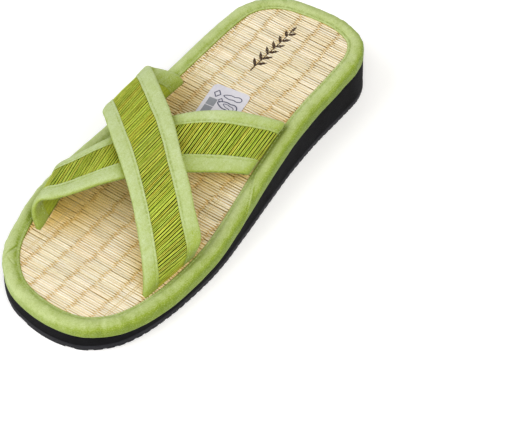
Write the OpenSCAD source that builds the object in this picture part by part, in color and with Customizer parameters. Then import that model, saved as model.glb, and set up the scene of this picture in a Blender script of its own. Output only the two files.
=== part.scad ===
// Cross-strap straw slide, right foot: ribbed outsole, wedge midsole, soft footbed,
// woven straw mat, rolled edge binding and two crossed straps.
// Millimetres, +Z up. Origin on the ground under the middle of the outline.
// +Y points to the heel, -Y to the toe, +X to the inner (big toe) side.

/* [Overall] */
// Overall length of the sole
sole_length = 254; // [230:1:290]
// Overall width of the sole
sole_width = 107; // [90:1:120]

/* [Sole] */
// Thickness of the ribbed outsole
outsole_t = 3.5; // [2:0.1:6]
// Depth of the grooves under the outsole
rib_depth = 0.8; // [0.4:0.1:1.5]
// Distance from one groove to the next
rib_pitch = 4.8; // [3:0.1:8]
// Width of each groove
rib_gap = 1.8; // [1:0.1:3]
// Height of the soft footbed layer
footbed_t = 5; // [3:0.1:8]
// Thickness of the straw mat
mat_t = 1.6; // [1:0.1:3]

/* [Edge binding] */
// How far the binding reaches in over the mat
bind_w = 9; // [6:0.5:12]
// How high the binding rolls above the mat
bind_h = 1.5; // [0.5:0.1:3]

/* [Straps] */
// Share of the upper strap's width under its front tape
upper_tape_front = 0.24; // [0.15:0.01:0.35]
// Share of the upper strap's width under its rear tape
upper_tape_rear = 0.26; // [0.15:0.01:0.35]
// Share of the lower strap's width under its front tape
lower_tape_front = 0.28; // [0.15:0.01:0.35]
// Share of the lower strap's width under its rear tape
lower_tape_rear = 0.21; // [0.15:0.01:0.35]
// Width of the slots the strap ends go through
slot_w = 4.8; // [4:0.1:7]

/* [Flex] */
// Where the sole bends, measured along the length
flex_y = -88; // [-100:1:-86]
// Gap between the two halves at the bend
flex_gap = 0.2; // [0.1:0.05:0.5]

/* [Hidden] */

green = [0.62, 0.74, 0.36];
pale = [0.75, 0.86, 0.58];
grass = [0.62, 0.70, 0.20];
black = [0.10, 0.10, 0.09];
straw = [0.85, 0.77, 0.58];
foam = [0.85, 0.84, 0.80];

sx = sole_width / 107;
sy = sole_length / 254;

// ---- curves -----------------------------------------------------------
function cr(a, b, c, e, t) =
    0.5 * (2*b + (c - a)*t + (2*a - 5*b + 4*c - e)*t*t + (3*b - a - 3*c + e)*t*t*t);
function loop_curve(p, m) = let (n = len(p))
    [for (i = [0:n - 1], k = [0:m - 1])
        cr(p[(i + n - 1) % n], p[i], p[(i + 1) % n], p[(i + 2) % n], k/m)];
function open_curve(p, m) = let (n = len(p))
    [for (i = [0:n - 2], k = [0:(i == n - 2 ? m : m - 1)])
        cr(i > 0 ? p[i - 1] : 2*p[0] - p[1], p[i], p[i + 1],
           i + 2 < n ? p[i + 2] : 2*p[n - 1] - p[n - 2], k/m)];
function unit(v) = v / norm(v);

// Outline of the sole, toe first, then up the outer side, the heel and the inner side
outline_pts = [for (q = [
    [7,-127], [-8,-125], [-21,-120], [-33,-110], [-42,-97], [-48,-81], [-52,-65],
    [-53.5,-48], [-52,-27], [-48,-2], [-45,20], [-43,42], [-42,64], [-41,86],
    [-38,104], [-30,116], [-16,124], [7,127], [22,125.5], [34,119.5], [40.5,107],
    [41.5,88], [41.5,66], [43,42], [46,18], [50,-10], [53,-34], [53.5,-52],
    [52.5,-70], [51,-82], [48,-96], [42,-110], [32,-120.5], [21,-125.5]])
    [q[0]*sx, q[1]*sy]];
rim = loop_curve(outline_pts, 3);
rim_n = len(rim);
// unit vectors pointing into the sole from each rim point
rim_in = [for (i = [0:rim_n - 1])
    let (d = unit(rim[(i + 1) % rim_n] - rim[(i + rim_n - 1) % rim_n])) [d[1], -d[0]]];
// the outline drawn d millimetres inside the rim
function inset(d) = [for (i = [0:rim_n - 1]) rim[i] + rim_in[i]*d];

// Height of the mat's top surface along the length
profile_pts = [[-140,19], [-127,17], [-100,14], [-80,12.5], [-60,12.5], [-40,13.5],
    [-20,16], [0,19.5], [20,22.5], [40,25], [60,26.5], [80,27.5], [100,29],
    [120,30.5], [140,32.5]];
profile = open_curve([for (q = profile_pts) [q[0]*sy, q[1]]], 4);
function top_z(y) = lookup(y, profile);

// ---- solids -----------------------------------------------------------
// everything between two heights measured from the mat's top surface,
// or from the ground when flat_bottom is set
module layer(d, lo, hi, flat_bottom = false) {
    intersection() {
        translate([0, 0, -1]) linear_extrude(60) polygon(inset(d));
        translate([-80, 0, 0]) rotate([90, 0, 90]) linear_extrude(160)
            polygon(concat([for (q = profile) [q[0], q[1] + hi]],
                flat_bottom ? [[140*sy, lo], [-140*sy, lo]]
                : [for (i = [len(profile) - 1:-1:0]) [profile[i][0], profile[i][1] + lo]]));
    }
}
module toe_half() { intersection() { children();
    translate([-100, -200, -5]) cube([200, 200 + flex_y - flex_gap/2, 80]); } }
module main_half() { intersection() { children();
    translate([-100, flex_y + flex_gap/2, -5]) cube([200, 300, 80]); } }

module outsole_whole() {
    difference() {
        linear_extrude(outsole_t) polygon(inset(0));
        for (y = [-27:26]) translate([-80, y*rib_pitch - rib_gap/2, -1])
            cube([160, rib_gap, 1 + rib_depth]);
    }
}
module midsole_whole() {
    layer(0.2, outsole_t + 0.02, -mat_t - footbed_t - 0.02, true);
}
// a closed ring that follows the rim; section points are [distance in, height]
module ring(section) {
    k = len(section);
    pts = [for (i = [0:rim_n - 1], s = section)
        let (p = rim[i] + rim_in[i]*s[0]) [p[0], p[1], top_z(p[1]) + s[1]]];
    polyhedron(points = pts, faces = [for (i = [0:rim_n - 1], j = [0:k - 1])
        let (a = i*k + j, b = i*k + (j + 1) % k,
             c = ((i + 1) % rim_n)*k + (j + 1) % k, e = ((i + 1) % rim_n)*k + j)
        each [[a, b, c], [a, c, e]]], convexity = 8);
}
bind_section = [[0.3, -6.55], [0, -4.5], [0.1, -2.2], [1, 0], [2.8, 0.8*bind_h],
    [5, bind_h], [7.2, 0.74*bind_h], [bind_w - 0.4, 0.25*bind_h], [bind_w, 0.08],
    [5.1, 0.08], [5.1, -1.58], [2.3, -1.58], [2.3, -6.55]];
seam_section = [[7.5, 0.635*bind_h + 0.07], [7.5, 0.635*bind_h + 0.37],
    [8.1, 0.425*bind_h + 0.37], [8.1, 0.425*bind_h + 0.07]];

// ---- straps -----------------------------------------------------------
// front and rear edges of each strap, outer side slot to inner side slot
upper_front = [[-35.5,3,14], [-35.5,3,19.5], [-37.5,1.5,24], [-41.5,-2,29],
    [-43.5,-7,33.5], [-42.5,-12,38], [-37,-17,41], [-29.5,-23.5,43.5],
    [-21,-30.5,44.5], [-11,-38,44.5], [0,-46.5,42.5], [10.5,-55,38.5],
    [20.5,-64,32.5], [30,-73,25], [36.5,-80.5,17.5], [39,-84,12], [39,-84,7]];
upper_rear = [[-31,41,19], [-31,41,25], [-33.5,39.5,29.5], [-38,36,33],
    [-42.5,31.5,36], [-42,27,41], [-37,22.5,46], [-30,17,48.5], [-20,9.5,49.5],
    [-9,1.5,50], [3,-8.5,49.5], [13.5,-18,47], [25,-27,41.5], [36,-36.5,33.5],
    [44,-42.5,23.5], [42.5,-46,14], [42,-46,7]];
lower_front = [[-34,-80,6.5], [-34,-80,12], [-37,-79,18], [-38,-77,24],
    [-36,-74,28.5], [-29,-70,31], [-22,-63,33.5], [-13,-53,37], [-2,-41,39],
    [8,-30,38.5], [17,-19,35.5], [28,-6,31], [36.5,5,25.5], [35.5,9,20.5], [35,9,15]];
lower_rear = [[-42.5,-44,7.5], [-42.5,-44,14], [-45.5,-45.5,19.5], [-46,-45.5,24],
    [-42.5,-43,28], [-37,-36,31.5], [-29,-25,36.5], [-18,-11,42], [-6,2,45.5],
    [5,13,46.5], [15,23,44.5], [26,34,38], [34,43,31], [31.5,46,25.5], [31,46,19.5]];

function scaled(p) = [for (q = p) [q[0]*sx, q[1]*sy, q[2]]];
upper_f = open_curve(scaled(upper_front), 3);
upper_r = open_curve(scaled(upper_rear), 3);
lower_f = open_curve(scaled(lower_front), 3);
lower_r = open_curve(scaled(lower_rear), 3);

// a band swept along a strap; each section point is [share of the width, height],
// outer list over the band and inner list under it, equally long
module band(f, r, outer, inner) {
    n = len(f);
    h = len(outer);
    k = 2*h;
    sec = concat(outer, [for (i = [h - 1:-1:0]) inner[i]]);
    mid = [for (i = [0:n - 1]) (f[i] + r[i])/2];
    nrm = [for (i = [0:n - 1]) unit(cross(
        mid[min(i + 1, n - 1)] - mid[max(i - 1, 0)], r[i] - f[i]))];
    pts = [for (i = [0:n - 1], s = sec) f[i] + (r[i] - f[i])*s[0] + nrm[i]*s[1]];
    polyhedron(points = pts, convexity = 10, faces = concat(
        [for (i = [0:n - 2], j = [0:k - 1])
            let (a = i*k + j, b = i*k + (j + 1) % k, c = a + k, e = b + k)
            each [[a, c, e], [a, e, b]]],
        [for (j = [0:h - 2]) each [[j, j + 1, k - 2 - j], [j, k - 2 - j, k - 1 - j]]],
        [for (j = [0:h - 2]) let (o = (n - 1)*k)
            each [[o + j, o + k - 2 - j, o + j + 1], [o + j, o + k - 1 - j, o + k - 2 - j]]]));
}
utf = upper_tape_front;
utr = 1 - upper_tape_rear;
ltf = lower_tape_front;
ltr = 1 - lower_tape_rear;
function flat(v, h) = [for (s = v) [s, h]];
module lining(f, r, tf, tr) {
    v = [0.03, 0.06, tf - 0.07, tf, 0.40, 0.52, 0.65, tr, tr + 0.06, 0.94, 0.97];
    band(f, r, flat(v, 0.5), flat(v, -1));
}
module grass_panel(f, r, tf, tr) {
    v = [tf + 0.003, 0.40, 0.52, 0.65, tr - 0.003];
    band(f, r, flat(v, 1.27), flat(v, 0.62));
}
module front_tape(f, r, tf) {
    band(f, r, [[tf, 1.35], [tf - 0.07, 1.6], [0.06, 1.5], [0, 1], [-0.015, -0.2],
        [0, -1.2], [0.06, -1.6], [tf - 0.07, -1.6], [tf, -1.5]],
        [[tf, 0.56], [tf - 0.07, 0.56], [0.06, 0.56], [0.024, 0.56],
        [0.024, -0.2], [0.024, -1.06], [0.06, -1.06], [tf - 0.07, -1.06], [tf, -1.06]]);
}
module rear_tape(f, r, tr) {
    band(f, r, [[tr, 1.35], [tr + 0.06, 1.6], [0.94, 1.5], [1, 1], [1.015, -0.2],
        [1, -1.2], [0.94, -1.6], [tr + 0.06, -1.6], [tr, -1.5]],
        [[tr, 0.56], [tr + 0.06, 0.56], [0.94, 0.56], [0.976, 0.56],
        [0.976, -0.2], [0.976, -1.06], [0.94, -1.06], [tr + 0.06, -1.06], [tr, -1.06]]);
}
// the seams stop a little before the strap ends, above the mat and the binding
function inner_part(p, a, b) = [for (i = [a:len(p) - 1 - b]) p[i]];
module front_seam(f, r, tf) {
    band(inner_part(f, 5, 6), inner_part(r, 5, 6), [[tf - 0.03, 1.9], [tf - 0.015, 1.85]],
        [[tf - 0.03, 1.6], [tf - 0.015, 1.55]]);
}
module rear_seam(f, r, tr) {
    band(inner_part(f, 5, 6), inner_part(r, 5, 6), [[tr + 0.015, 1.85], [tr + 0.03, 1.9]],
        [[tr + 0.015, 1.55], [tr + 0.03, 1.6]]);
}

// straight slot for one strap end, cut from the mat and the footbed
module slot(a, b) {
    p = [a[0], a[1]];
    q = [b[0], b[1]];
    u = unit(q - p);
    w = [-u[1], u[0]]*slot_w/2;
    translate([0, 0, -1]) linear_extrude(80)
        polygon([p - u*1.6 + w, q + u*1.6 + w, q + u*1.6 - w, p - u*1.6 - w]);
}
module slots() {
    slot(upper_f[0], upper_r[0]);
    slot(upper_f[len(upper_f) - 1], upper_r[len(upper_r) - 1]);
    slot(lower_f[0], lower_r[0]);
    slot(lower_f[len(lower_f) - 1], lower_r[len(lower_r) - 1]);
}
module footbed_whole() { difference() { layer(2.4, -mat_t - footbed_t, -mat_t - 0.02); slots(); } }
module mat_whole() { difference() { layer(5.2, -mat_t, 0); slots(); } }

// ---- one module per piece ----------------------------------------------
module outsole_main() { color(black) main_half() outsole_whole(); }
module outsole_toe() { color(black) toe_half() outsole_whole(); }
module midsole_main() { color(black) main_half() midsole_whole(); }
module midsole_toe() { color(black) toe_half() midsole_whole(); }
module footbed_main() { color(foam) main_half() footbed_whole(); }
module footbed_toe() { color(foam) toe_half() footbed_whole(); }
module straw_mat_main() { color(straw) main_half() mat_whole(); }
module straw_mat_toe() { color(straw) toe_half() mat_whole(); }
module binding_main() { color(green) main_half() ring(bind_section); }
module binding_toe() { color(green) toe_half() ring(bind_section); }
module binding_seam_main() { color(pale) main_half() ring(seam_section); }
module binding_seam_toe() { color(pale) toe_half() ring(seam_section); }
module lower_strap_lining() { color(green) lining(lower_f, lower_r, ltf, ltr); }
module lower_strap_grass() { color(grass) grass_panel(lower_f, lower_r, ltf, ltr); }
module lower_strap_front_tape() { color(pale) front_tape(lower_f, lower_r, ltf); }
module lower_strap_rear_tape() { color(pale) rear_tape(lower_f, lower_r, ltr); }
module lower_strap_front_seam() { color(pale) front_seam(lower_f, lower_r, ltf); }
module lower_strap_rear_seam() { color(pale) rear_seam(lower_f, lower_r, ltr); }
module upper_strap_lining() { color(green) lining(upper_f, upper_r, utf, utr); }
module upper_strap_grass() { color(grass) grass_panel(upper_f, upper_r, utf, utr); }
module upper_strap_front_tape() { color(pale) front_tape(upper_f, upper_r, utf); }
module upper_strap_rear_tape() { color(pale) rear_tape(upper_f, upper_r, utr); }
module upper_strap_front_seam() { color(pale) front_seam(upper_f, upper_r, utf); }
module upper_strap_rear_seam() { color(pale) rear_seam(upper_f, upper_r, utr); }
// rounded label stuck on the mat, following its slope
module thin_on_mat(y0, y1, x0, x1, t) {
    intersection() {
        children();
        translate([x0, 0, 0]) rotate([90, 0, 90]) linear_extrude(x1 - x0)
            polygon(concat([for (y = [y0:2:y1]) [y, top_z(y) + 0.03 + t]],
                [for (y = [y1:-2:y0]) [y, top_z(y) + 0.03]]));
    }
}
module composition_label() { color([0.82, 0.82, 0.88])
    thin_on_mat(20, 60, -25, 20, 0.3)
        translate([-2.3, 39, 0]) rotate([0, 0, 7]) linear_extrude(60)
            offset(1.5, $fn = 24) square([19.5, 22], center = true); }
// small leaf sprig printed near the heel: one stem and thirteen leaves
module heel_mark() { color([0.25, 0.18, 0.10])
    thin_on_mat(60, 116, -15, 15, 0.15)
        translate([-3.8, 88, 0]) rotate([0, 0, -3]) linear_extrude(60) union() {
            translate([-0.35, -20]) square([0.7, 35]);
            for (i = [0:5], s = [-1, 1]) translate([0, -16 + i*5.4 + (s + 1)*0.6])
                rotate(-s*42) leaf(6.2 - 0.25*i);
            translate([0, 14]) leaf(6);
        } }
module leaf(l) { polygon([for (t = [0:1/8:1]) [sin(180*t)*(1.15 - 0.5*t), l*t],
    for (t = [1:-1/8:0]) [-sin(180*t)*(1.15 - 0.5*t), l*t]]); }

outsole_main();
outsole_toe();
midsole_main();
midsole_toe();
footbed_main();
footbed_toe();
straw_mat_main();
straw_mat_toe();
binding_main();
binding_toe();
binding_seam_main();
binding_seam_toe();
lower_strap_lining();
lower_strap_grass();
lower_strap_front_tape();
lower_strap_rear_tape();
lower_strap_front_seam();
lower_strap_rear_seam();
upper_strap_lining();
upper_strap_grass();
upper_strap_front_tape();
upper_strap_rear_tape();
upper_strap_front_seam();
upper_strap_rear_seam();
composition_label();
heel_mark();
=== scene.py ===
import math
import bpy
import bmesh
import numpy as np
from mathutils import Matrix, Vector


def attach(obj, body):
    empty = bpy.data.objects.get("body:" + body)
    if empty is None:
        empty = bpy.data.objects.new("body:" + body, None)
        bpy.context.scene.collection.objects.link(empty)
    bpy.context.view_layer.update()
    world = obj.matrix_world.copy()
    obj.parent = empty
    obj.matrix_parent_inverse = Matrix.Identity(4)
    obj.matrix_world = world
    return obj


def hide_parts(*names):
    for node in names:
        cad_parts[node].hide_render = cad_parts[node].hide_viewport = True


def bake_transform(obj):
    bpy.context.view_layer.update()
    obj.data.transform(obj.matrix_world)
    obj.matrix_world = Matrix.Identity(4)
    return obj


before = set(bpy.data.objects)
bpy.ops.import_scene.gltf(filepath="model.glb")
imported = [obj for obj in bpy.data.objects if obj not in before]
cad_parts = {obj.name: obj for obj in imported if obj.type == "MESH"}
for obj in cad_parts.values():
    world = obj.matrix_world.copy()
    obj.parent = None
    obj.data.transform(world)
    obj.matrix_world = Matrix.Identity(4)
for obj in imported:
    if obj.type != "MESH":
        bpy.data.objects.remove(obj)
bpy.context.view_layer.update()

rng = np.random.default_rng(20)
MM = 0.001

# ------------------------------------------------------------------ curves
OUT = [(7, -127), (-8, -125), (-21, -120), (-33, -110), (-42, -97), (-48, -81), (-52, -65),
       (-53.5, -48), (-52, -27), (-48, -2), (-45, 20), (-43, 42), (-42, 64), (-41, 86),
       (-38, 104), (-30, 116), (-16, 124), (7, 127), (22, 125.5), (34, 119.5), (40.5, 107),
       (41.5, 88), (41.5, 66), (43, 42), (46, 18), (50, -10), (53, -34), (53.5, -52),
       (52.5, -70), (51, -82), (48, -96), (42, -110), (32, -120.5), (21, -125.5)]
PROF = [(-140, 19), (-127, 17), (-100, 14), (-80, 12.5), (-60, 12.5), (-40, 13.5),
        (-20, 16), (0, 19.5), (20, 22.5), (40, 25), (60, 26.5), (80, 27.5), (100, 29),
        (120, 30.5), (140, 32.5)]
UF = [(-35.5, 3, 14), (-35.5, 3, 19.5), (-37.5, 1.5, 24), (-41.5, -2, 29), (-43.5, -7, 33.5),
      (-42.5, -12, 38), (-37, -17, 41), (-29.5, -23.5, 43.5), (-21, -30.5, 44.5),
      (-11, -38, 44.5), (0, -46.5, 42.5), (10.5, -55, 38.5), (20.5, -64, 32.5),
      (30, -73, 25), (36.5, -80.5, 17.5), (39, -84, 12), (39, -84, 7)]
UR = [(-31, 41, 19), (-31, 41, 25), (-33.5, 39.5, 29.5), (-38, 36, 33), (-42.5, 31.5, 36),
      (-42, 27, 41), (-37, 22.5, 46), (-30, 17, 48.5), (-20, 9.5, 49.5), (-9, 1.5, 50),
      (3, -8.5, 49.5), (13.5, -18, 47), (25, -27, 41.5), (36, -36.5, 33.5),
      (44, -42.5, 23.5), (42.5, -46, 14), (42, -46, 7)]
LF = [(-34, -80, 6.5), (-34, -80, 12), (-37, -79, 18), (-38, -77, 24), (-36, -74, 28.5),
      (-29, -70, 31), (-22, -63, 33.5), (-13, -53, 37), (-2, -41, 39), (8, -30, 38.5),
      (17, -19, 35.5), (28, -6, 31), (36.5, 5, 25.5), (35.5, 9, 20.5), (35, 9, 15)]
LR = [(-42.5, -44, 7.5), (-42.5, -44, 14), (-45.5, -45.5, 19.5), (-46, -45.5, 24),
      (-42.5, -43, 28), (-37, -36, 31.5), (-29, -25, 36.5), (-18, -11, 42), (-6, 2, 45.5),
      (5, 13, 46.5), (15, 23, 44.5), (26, 34, 38), (34, 43, 31), (31.5, 46, 25.5),
      (31, 46, 19.5)]


def cr(a, b, c, e, t):
    return 0.5 * (2*b + (c - a)*t + (2*a - 5*b + 4*c - e)*t*t + (3*b - a - 3*c + e)*t*t*t)


def loop_at(p, u):
    """closed curve through the points p, at the parameters u"""
    p = np.array(p, float)
    n = len(p)
    i = np.floor(u).astype(int) % n
    t = (u - np.floor(u))[:, None]
    return cr(p[(i - 1) % n], p[i], p[(i + 1) % n], p[(i + 2) % n], t)


def open_at(p, u):
    p = np.array(p, float)
    n = len(p)
    q = np.vstack([2*p[0] - p[1], p, 2*p[-1] - p[-2]])
    i = np.clip(np.floor(u).astype(int), 0, n - 2)
    t = (u - i)[:, None]
    return cr(q[i], q[i + 1], q[i + 2], q[i + 3], t)


_pr = open_at(PROF, np.linspace(0, len(PROF) - 1, 15*14 + 1))


def top_z(y):
    return np.interp(y, _pr[:, 0], _pr[:, 1])


def rim_frame(u):
    """points of the outline and unit vectors into the sole, at the parameters u"""
    p = loop_at(OUT, u)
    e = 1e-3
    d = loop_at(OUT, u + e) - loop_at(OUT, u - e)
    d /= np.linalg.norm(d, axis=1, keepdims=True)
    return p, np.stack([d[:, 1], -d[:, 0]], 1)


def sm(x, a, b):
    t = np.clip((x - a)/(b - a), 0, 1)
    return t*t*(3 - 2*t)


def hash01(i, j, seed):
    n = (i.astype(np.int64)*374761393 + j.astype(np.int64)*668265263 + seed*974634777) & 0xFFFFFFFF
    n = ((n ^ (n >> 13))*1274126177) & 0xFFFFFFFF
    return ((n ^ (n >> 16)) & 0xFFFF)/65535.0


def noise2(x, y, seed=1):
    """smooth noise from -1 to 1"""
    x, y = np.broadcast_arrays(np.asarray(x, float), np.asarray(y, float))
    xi, yi = np.floor(x), np.floor(y)
    u, v = x - xi, y - yi
    u, v = u*u*(3 - 2*u), v*v*(3 - 2*v)
    xi, yi = xi.astype(int), yi.astype(int)
    a, b = hash01(xi, yi, seed), hash01(xi + 1, yi, seed)
    c, d = hash01(xi, yi + 1, seed), hash01(xi + 1, yi + 1, seed)
    return 2*((a*(1 - u) + b*u)*(1 - v) + (c*(1 - u) + d*u)*v) - 1


# ------------------------------------------------------------------ meshes
def grid(nu, nv, loop_u=False, loop_v=False, start=0):
    """quads of a grid of nu by nv points"""
    i = np.arange(nu if loop_u else nu - 1)[:, None]
    j = np.arange(nv if loop_v else nv - 1)[None, :]
    a = i*nv + j
    b = i*nv + (j + 1) % nv
    c = ((i + 1) % nu)*nv + (j + 1) % nv
    d = ((i + 1) % nu)*nv + j
    return np.stack([a, b, c, d], -1).reshape(-1, 4) + start


def make(name, verts, faces, mat, extra=None, smooth=True, fix=True, sharp=None):
    """a mesh from points in millimetres; faces is a list of index arrays.
    The rest positions stay on it as an attribute, in millimetres, for its material."""
    verts = np.asarray(verts, float)
    me = bpy.data.meshes.new(name)
    allf = []
    for f in faces:
        allf += np.asarray(f).tolist() if isinstance(f, np.ndarray) else [list(map(int, q)) for q in f]
    me.from_pydata((verts*MM).tolist(), [], allf)
    at = me.attributes.new("rest", "FLOAT_VECTOR", "POINT")
    at.data.foreach_set("vector", verts.astype(np.float32).ravel())
    for k, v in (extra or {}).items():
        v = np.asarray(v, np.float32)
        if v.ndim == 1:
            me.attributes.new(k, "FLOAT", "POINT").data.foreach_set("value", v)
        elif v.shape[1] == 3:
            me.attributes.new(k, "FLOAT_VECTOR", "POINT").data.foreach_set("vector", v.ravel())
        else:
            me.attributes.new(k, "FLOAT_COLOR", "POINT").data.foreach_set("color", v.ravel())
    if fix:
        bm = bmesh.new()
        bm.from_mesh(me)
        bmesh.ops.recalc_face_normals(bm, faces=bm.faces)
        bm.to_mesh(me)
        bm.free()
    me.polygons.foreach_set("use_smooth", [smooth]*len(me.polygons))
    if sharp is not None:
        me.set_sharp_from_angle(angle=math.radians(sharp))
    me.materials.append(mat)
    me.validate()
    o = bpy.data.objects.new(name, me)
    bpy.context.scene.collection.objects.link(o)
    return o


def sole_piece(o, slot, *nodes):
    """a piece of the sole: its transform is baked in and the CAD parts it stands for are hidden"""
    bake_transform(o)
    if nodes:
        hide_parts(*nodes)
    return o


def strap_piece(o, slot, *nodes):
    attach(o, "main")
    if nodes:
        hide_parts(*nodes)
    return o


# --------------------------------------------------------------- materials
class Mat:
    def __init__(self, name):
        self.m = bpy.data.materials.new(name)
        self.m.use_nodes = True
        self.t = self.m.node_tree
        self.t.nodes.clear()
        self.out = self.t.nodes.new("ShaderNodeOutputMaterial")
        self.b = self.t.nodes.new("ShaderNodeBsdfPrincipled")
        self.t.links.new(self.b.outputs[0], self.out.inputs[0])

    def set(self, **kw):
        for k, v in kw.items():
            self.to(self.b.inputs[k.replace("_", " ")], v)
        return self

    def to(self, sock, v):
        if isinstance(v, bpy.types.NodeSocket):
            self.t.links.new(v, sock)
        elif isinstance(v, (tuple, list)) and len(v) == 3 and sock.type == "RGBA":
            sock.default_value = (*v, 1)
        else:
            sock.default_value = v

    def node(self, kind, ins=None, out=0, **props):
        n = self.t.nodes.new("ShaderNode" + kind)
        for k, v in props.items():
            setattr(n, k, v)
        for k, v in (ins or {}).items():
            self.to(n.inputs[k], v)
        return n.outputs[out]

    def attr(self, name, out="Vector"):
        n = self.t.nodes.new("ShaderNodeAttribute")
        n.attribute_name = name
        return n.outputs[out]

    def math(self, op, a, b=0.0, c=0.0, clamp=False):
        n = self.t.nodes.new("ShaderNodeMath")
        n.operation = op
        n.use_clamp = clamp
        for i, v in enumerate((a, b, c)):
            self.to(n.inputs[i], v)
        return n.outputs[0]

    def scaled(self, vec, s):
        n = self.t.nodes.new("ShaderNodeVectorMath")
        n.operation = "MULTIPLY"
        self.to(n.inputs[0], vec)
        n.inputs[1].default_value = s
        return n.outputs[0]

    def noise(self, vec, scale=1.0, detail=3.0, rough=0.55, out=0, kind="FBM"):
        return self.node("TexNoise", {"Vector": vec, "Scale": scale, "Detail": detail,
                                      "Roughness": rough}, out)

    def ramp(self, fac, stops, mode="LINEAR"):
        n = self.t.nodes.new("ShaderNodeValToRGB")
        n.color_ramp.interpolation = mode
        el = n.color_ramp.elements
        while len(el) > 1:
            el.remove(el[0])
        el[0].position, el[0].color = stops[0][0], col(stops[0][1])
        for p, c in stops[1:]:
            e = el.new(p)
            e.color = col(c)
        self.to(n.inputs[0], fac)
        return n.outputs[0]

    def mix(self, fac, a, b, mode="MIX"):
        n = self.t.nodes.new("ShaderNodeMix")
        n.data_type = "RGBA"
        n.blend_type = mode
        self.to(n.inputs[0], fac)
        self.to(n.inputs[6], a)
        self.to(n.inputs[7], b)
        return n.outputs[2]

    def open_air(self, dist, samples=6):
        """1 where the surface lies open, towards 0 where other pieces cover it"""
        return self.node("AmbientOcclusion", {"Distance": dist*MM}, 1, samples=samples)

    def bump(self, height, strength, dist, normal=None):
        ins = {"Height": height, "Strength": strength, "Distance": dist*MM}
        if normal is not None:
            ins["Normal"] = normal
        return self.node("Bump", ins)


def col(c):
    return (c, c, c, 1) if isinstance(c, (int, float)) else (*c[:3], 1)


def lin(r, g, b):
    """sRGB 0-255 to linear"""
    f = lambda v: v/12.92 if v <= 0.04045 else ((v + 0.055)/1.055)**2.4
    return (f(r/255), f(g/255), f(b/255))


def cloth(name, deep, mid, pale, painted_light=0.5, weave=0.25, sheen=0.3, shade=None, inner=None,
          painted_light_dir=(-0.10, -0.12, 0.98)):
    """brushed cloth: mottled pile and fine weave. Painted light: it is painted paler where it faces the given light
    direction and lies open.
    Painted shade: where other pieces cover it, it gets none of that paling, and with shade given it is mixed towards
    shade. inner is the colour of the side below the stalks, painted dark as shade for the gaps between them."""
    m = Mat(name)
    p = m.attr("rest")
    fine = m.noise(p, 1.1, 5, 0.75)
    patch = m.noise(p, 0.14, 3, 0.5)
    fuzz = m.noise(p, 1.7, 5, 0.8)
    streak = m.noise(m.scaled(p, (1.0, 0.35, 1.0)), 0.8, 3, 0.6)
    f = m.math("ADD", m.math("MULTIPLY", fine, 0.46), m.math("MULTIPLY", patch, 0.30))
    f = m.math("ADD", f, m.math("MULTIPLY", streak, 0.24))
    # painted light: the cloth is painted paler where it faces the given light direction and lies open, as if lit
    # from there
    n = m.t.nodes.new("ShaderNodeVectorMath")
    n.operation = "DOT_PRODUCT"
    m.to(n.inputs[0], m.node("NewGeometry", out=1))
    n.inputs[1].default_value = painted_light_dir
    up = n.outputs["Value"]
    air = m.open_air(22.0)
    lift = m.math("MULTIPLY", m.math("MULTIPLY", m.math("ADD", up, 0.1, clamp=True), air), painted_light)
    f = m.math("ADD", f, m.math("SUBTRACT", lift, painted_light*0.5))
    c = m.ramp(f, [(0.18, deep), (0.48, mid), (0.84, pale)])
    c = m.mix(m.math("MULTIPLY", m.math("SUBTRACT", fuzz, 0.50, clamp=True), 3.2, clamp=True), c, pale)
    c = m.mix(m.math("MULTIPLY", m.math("SUBTRACT", 0.48, fuzz, clamp=True), 3.2, clamp=True), c, deep)
    # painted shade: where other pieces cover it, the cloth is mixed towards the shade colour
    if shade is not None:
        c = m.mix(m.ramp(air, [(0.30, 0.75), (0.75, 0.0)]), c, shade)
    if inner is not None:
        lc = m.attr("local")
        # the stalks on the other side press through as faint ribs
        rib = m.math("SINE", m.math("MULTIPLY", m.node("SeparateXYZ", {"Vector": lc}, 0), 2*math.pi/2.14))
        c = m.mix(m.math("MULTIPLY", m.math("ADD", rib, 0.2, clamp=True), 0.35), c, deep)
        # painted shade: the side below the stalks takes the dark inner colour, which shows as dark lines in the gaps
        # between stalks
        side = m.node("SeparateXYZ", {"Vector": lc}, 2)
        c = m.mix(m.math("GREATER_THAN", side, 0.3), c, inner)
    # thread pattern of the cloth, in fine slanting ribs
    w1 = m.node("TexWave", {"Vector": p, "Scale": 1.05, "Distortion": 1.5, "Detail": 2.0,
                            "Detail Scale": 2.0}, 1, wave_type="BANDS", bands_direction="DIAGONAL")
    h = m.math("ADD", m.math("MULTIPLY", fuzz, 0.8), m.math("MULTIPLY", w1, weave))
    h = m.math("ADD", h, m.math("MULTIPLY", fine, 1.0))
    if inner is not None:
        h = m.math("SUBTRACT", h, m.math("MULTIPLY", rib, 0.9))
    m.set(Base_Color=c, Roughness=0.95, Normal=m.bump(h, 0.7, 0.2))
    m.b.inputs["Specular IOR Level"].default_value = 0.06
    m.b.inputs["Sheen Weight"].default_value = sheen
    m.b.inputs["Sheen Roughness"].default_value = 0.5
    m.b.inputs["Sheen Tint"].default_value = (0.86, 0.95, 0.80, 1)
    return m.m


TAPE = cloth("tape_cloth", lin(122, 142, 30), lin(154, 172, 72), lin(189, 203, 152), painted_light=0.50,
             shade=lin(146, 156, 34))
BINDING = cloth("binding_cloth", lin(104, 126, 18), lin(137, 157, 48), lin(188, 201, 140), painted_light=0.60,
                shade=lin(118, 130, 22), painted_light_dir=(-0.36, -0.46, 0.81))
LINING = cloth("lining_cloth", lin(124, 142, 26), lin(160, 174, 52), lin(184, 196, 88), painted_light=0.2,
               sheen=0.08, inner=lin(42, 54, 3))


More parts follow.
